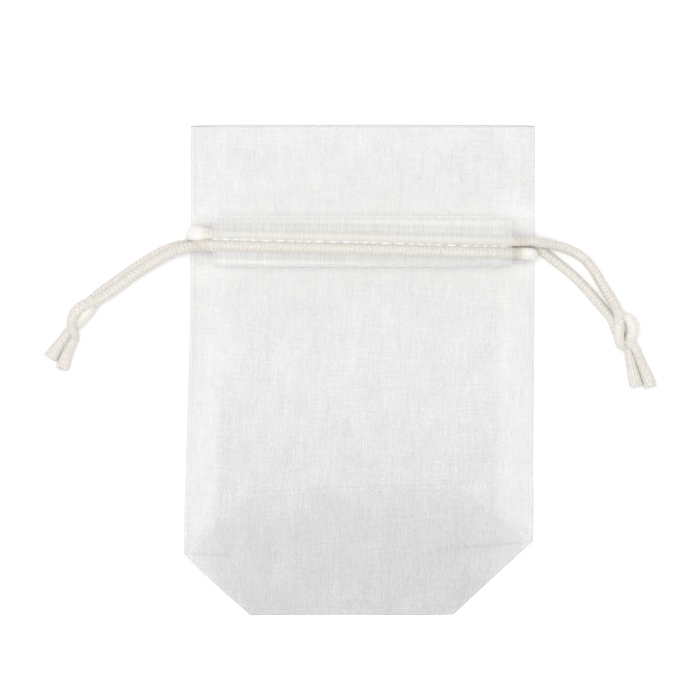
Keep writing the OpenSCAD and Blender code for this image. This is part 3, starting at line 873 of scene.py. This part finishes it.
for side, name, pull in ((-1, "left", "right_drawstring"), (1, "right", "left_drawstring")):
    start, end = (side * 0.052, 0.036, 0.005), (side * 0.024, 0.024, 0.005)
    columns = side * steps((0, 30, 1.2), (30, HALF_W - 7, 0.9), (HALF_W - 7, HALF_W - 0.6, 0.4),
                           (HALF_W - 0.6, HALF_W, 0.15))
    notch = (side, cord_b(-48.2), 3.6) if side < 0 else (side, cord_a(48.2), 3.2)
    front = cloth(f"front_cloth_{name}", columns, rows_front, low_front, front_z, front_marks, notch, -26)
    back = cloth(f"back_cloth_{name}", columns, rows_back, low_back, back_z, back_marks, notch, -50)
    strip = side * steps((0, CAS_X - 1, 1.0), (CAS_X - 1, CAS_X, 0.25))
    front_strip = cloth(f"front_casing_{name}", strip, casing_rows, None, front_casing_z, casing_marks)
    back_strip = cloth(f"back_casing_{name}", strip, casing_rows, None, back_casing_z, casing_marks)
    for obj, mat, cad in (
        (front, BODY_CLOTH, "front_panel"), (back, BACK_CLOTH, "back_panel"),
        (front_strip, CASING_CLOTH, "front_casing"), (back_strip, CASING_BACK_CLOTH, "back_casing"),
    ):
        dress(obj, mat)
        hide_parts(cad)
        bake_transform(obj)

    # The welded side seam: a thin double line down the edge.
    inner = 0.16 if side > 0 else 0.08
    seam_y = steps((CORNER_Y + 0.4, 30, 1.6), (30, 49, 0.5), (49, MOUTH, 1.6))
    seam_x = side * (HALF_W - np.array([1.7, 1.55, 1.4, 1.25, 1.0, 0.6, 0.34, 0.2, 0.1, 0]))
    seam = cloth(
        f"{name}_seam_strip", seam_x, seam_y, None,
        lambda x, y: np.maximum(front_z(x, y), seam_z(y)) + 0.12 + 0.1 * bump(np.abs(x), HALF_W - 0.7, 0.4),
        lambda x, y: {
            "ply_cover": 0.2 + 0 * x,
            "edge_dark": inner * bump(np.abs(x), HALF_W - 1.4, 0.16) + 0.7 * bump(np.abs(x), HALF_W, 0.2),
            "fold_light": 0.7 * bump(np.abs(x), HALF_W - 0.7, 0.3),
        }, notch)
    dress(seam, SEAM_CLOTH)
    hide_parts(f"{name}_side_seam")
    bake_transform(seam)

# ---------------------------------------------------------------- the folded base


def base_density(y):
    """The folded plies get more cover, so darker, away from the crease and most of all at the bottom."""
    return 1 + 0.22 * smooth(BASE_TOP - 4, BASE_TOP - 14, y) + 0.15 * smooth(-62, -75, y)


def painted_fold_shade(x, y):
    """A darker spot right of the middle of the base, as in the photo: painted shade of a small fold."""
    return 0.35 * bump(x, 24.5, 3.2) * bump(y, -58, 2.6)


def base_marks(x, y):
    """Base panel: a painted highlight along the crease at its top, and a dark line at the bottom edge."""
    painted_highlight = 0.4 * smooth(0.5, 0, BASE_TOP - y) * (0.55 + 0.45 * np.sin(x * 2.1) * np.sin(x * 0.7))
    painted_highlight = np.maximum(painted_highlight, 0.12 * smooth(0.4, 0, BASE_HALF - np.abs(x)) * (x < 0))
    line = 1.2 * smooth(0.5, 0, y - BOTTOM)
    return {"ply_cover": base_density(y) + painted_fold_shade(x, y), "edge_dark": line, "fold_light": painted_highlight}


def lining_marks(x, y):
    """Inner ply: plain."""
    return {"ply_cover": 0.9 * base_density(y), "edge_dark": 0 * x, "fold_light": 0 * x}


base = cloth(
    "base_cloth",
    steps((-BASE_HALF, -BASE_HALF + 1, 0.25), (-BASE_HALF + 1, BASE_HALF - 1, 1.2), (BASE_HALF - 1, BASE_HALF, 0.25)),
    steps((BOTTOM, BOTTOM + 1, 0.25), (BOTTOM + 1, BASE_TOP - 1.2, 1.2), (BASE_TOP - 1.2, BASE_TOP, 0.3)),
    None,
    lambda x, y: base_z(y) + 0.2 * ripple(x, y, 31, 15) * smooth(0, 6, np.minimum(BASE_TOP - y, y - BOTTOM)),
    base_marks)
dress(base, BASE_CLOTH)
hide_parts("base_panel")
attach(base, "pouch")


def gusset_marks(side, x, y, u):
    """Gusset: painted highlights along its fold by the base and, on the right, along its upper slanting edge, with a
    dark line down its slanting edge. The right one is denser low down.
    """
    half = (BASE_TOP - BOTTOM) / 2 * (1 - u)
    up_edge = (CORNER_Y + half - y) * 0.7071
    low_edge = (y - CORNER_Y + half) * 0.7071
    painted_highlight = (0.5 if side > 0 else 0.0) * float(smooth(0.5, 0, up_edge))
    painted_highlight = max(painted_highlight, (0.05 if side > 0 else 0.2) * float(smooth(0.4, 0, abs(x) - BASE_HALF)))
    density = float(base_density(y)) * 0.97
    if side > 0:
        density += 0.6 * float(smooth(-56, -68, y))
    return {"ply_cover": density, "edge_dark": 0.75 * float(smooth(0.5, 0, low_edge)), "fold_light": painted_highlight}


def fan(name, side):
    """A triangle with its long side at the crease of the base and its tip at the pouch's corner."""
    rows, columns = 57, 27
    verts, uvs, marks, faces = [], [], {"ply_cover": [], "edge_dark": [], "fold_light": []}, []
    reach = HALF_W - BASE_HALF
    for j in range(columns):
        u = j / (columns - 1)
        for i in range(rows):
            v = i / (rows - 1)
            half = (BASE_TOP - BOTTOM) / 2 * (1 - u)
            x = side * (BASE_HALF + reach * u)
            y = CORNER_Y + half * (2 * v - 1)
            px, py = laid(np.array(x), np.array(y))
            wave = 0.25 * float(ripple(np.array(x), np.array(y), 37, 11))
            wave *= math.sin(math.pi * u) * math.sin(math.pi * v)
            verts.append([float(px), float(py), float(base_z(y)) + wave])
            uvs.append([x * MM, y * MM])
            value = gusset_marks(side, x, y, u)
            for key in marks:
                marks[key].append(value[key])
    for j in range(columns - 1):
        for i in range(rows - 1):
            a = j * rows + i
            f = (a, a + rows, a + rows + 1, a + 1)
            faces.append(f if side > 0 else f[::-1])
    obj = new_object(name, verts, faces, uvs, marks)
    dress(obj, BASE_CLOTH)
    return obj


for side, name in ((-1, "left"), (1, "right")):
    gusset = fan(f"{name}_gusset_cloth", side)
    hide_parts(f"{name}_base_gusset")
    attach(gusset, "pouch")

lining_rows = steps((BOTTOM + 0.5, BASE_TOP - 1.4, 1.5))
lining_x = steps((-1, 1, 0.05))
gx, gy = np.meshgrid(lining_x, lining_rows)
half_at = BASE_HALF + np.minimum(gy - BOTTOM - 0.45, BASE_TOP - 1.2 - gy)
gx = gx * np.minimum(half_at, HALF_W - 2.6)
lx, ly = laid(gx, gy)
lz = base_z(gy) - 0.16 - 0.6 * smooth(BOTTOM, BOTTOM + 9, gy)
lining = new_object(
    "base_lining", np.stack([lx, ly, lz], 2).reshape(-1, 3), grid_faces(len(lining_rows), len(lining_x)),
    np.stack([gx, gy], 2).reshape(-1, 2) * MM, lining_marks(gx, gy))
dress(lining, BASE_CLOTH)
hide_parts("base_inner_ply")
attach(lining, "pouch")

# The seams across the corners show through as a faint line, longer on the right.
for side, name, reach, dark in ((-1, "left", 15.5, 0.22), (1, "right", 27.5, 0.26)):
    xs = side * steps((HALF_W - reach, HALF_W - 0.4, 0.8))
    ys = CORNER_Y + np.array([-0.42, -0.2, 0.0, 0.2, 0.42])
    line = cloth(
        f"{name}_base_seam_line", xs, ys, None,
        lambda x, y: base_z(y) + 0.22 + 0.14 * bump(y, CORNER_Y, 0.25) + 0.05 * np.sin(x * 1.3),
        lambda x, y: {
            "ply_cover": 0.8 + 0 * x,
            "edge_dark": dark * bump(y, CORNER_Y, 0.3) * smooth(HALF_W - reach, HALF_W - reach + 5, np.abs(x)),
            "fold_light": 0 * x,
        })
    dress(line, SEAM_CLOTH)
    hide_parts(f"{name}_base_seam")
    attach(line, "pouch")

# ---------------------------------------------------------------- stitches


def stitch_row(name, xs, y_of, z_of, length, thick):
    """Short threads that dip into the cloth at both ends."""
    verts, faces, uvs = [], [], []
    sides, rng = 7, np.random.default_rng(len(name))

    def taper(at):
        r = thick * (1 - 0.35 * abs(2 * at / length - 1) ** 3)
        return r, r

    for x in xs:
        start = x + rng.uniform(-0.08, 0.08)
        tilt = rng.uniform(-0.1, 0.1)
        pts = []
        for t in np.linspace(0, 1, 7):
            px, py = start + length * t, y_of(start) + tilt * (t - 0.5)
            dip = 0.22 * (2 * t - 1) ** 4
            wx, wy = laid(np.array(px), np.array(py))
            pts.append([float(wx), float(wy), float(z_of(np.array(px), np.array(py))) + thick * 0.6 - dip])
        pts = np.array(pts)
        rings, uv = tube(pts, np.linspace(0, length, 7), taper, sides, (0, 0, 1))
        base_at = len(verts)
        verts += list(rings.reshape(-1, 3))
        uvs += list(uv.reshape(-1, 2))
        for i in range(6):
            for k in range(sides):
                a = base_at + i * (sides + 1) + k
                faces.append((a, a + 1, a + sides + 2, a + sides + 1))
    return dress(new_object(name, verts, faces, uvs), THREAD)


def on_front(x, y):
    """Height of the casing, and beyond its ends of the front panel, where the front rows run on."""
    return np.where(np.abs(x) < CAS_X, front_casing_z(x, y), front_z(x, y) + 0.05)


for side, name, pull in ((-1, "left", "right_drawstring"), (1, "right", "left_drawstring")):
    start, end = (side * 0.052, 0.036, 0.005), (side * 0.024, 0.024, 0.005)
    xs = np.arange(0.6, CAS_X - 2, STITCH_PITCH)
    xs = xs if side > 0 else -xs - 2.0
    front_xs = np.arange(0.6, HALF_W - 3.5, STITCH_PITCH)
    front_xs = front_xs if side > 0 else -front_xs - 2.0
    rows = (
        ("front_upper_stitches", CAS_Y1 - 0.8, on_front, front_xs),
        ("front_lower_stitches", CAS_Y0 + 0.8, on_front, front_xs),
        ("back_upper_stitches", CAS_Y1 - 0.8, back_z, xs),
        ("back_lower_stitches", CAS_Y0 + 0.8, back_z, xs),
    )
    for cad, y, z_of, row_xs in rows:
        row = stitch_row(f"{cad}_{name}", row_xs, lambda x, y=y: y, z_of, 2.2, 0.1)
        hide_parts(cad)
        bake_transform(row)

base_xs = np.arange(-BASE_HALF + 1, BASE_HALF - 3, STITCH_PITCH)
base_row = stitch_row("base_stitch_row", base_xs, lambda x: BASE_TOP - 1.4, lambda x, y: base_z(y), 2.1, 0.1)
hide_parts("base_stitches")
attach(base_row, "pouch")
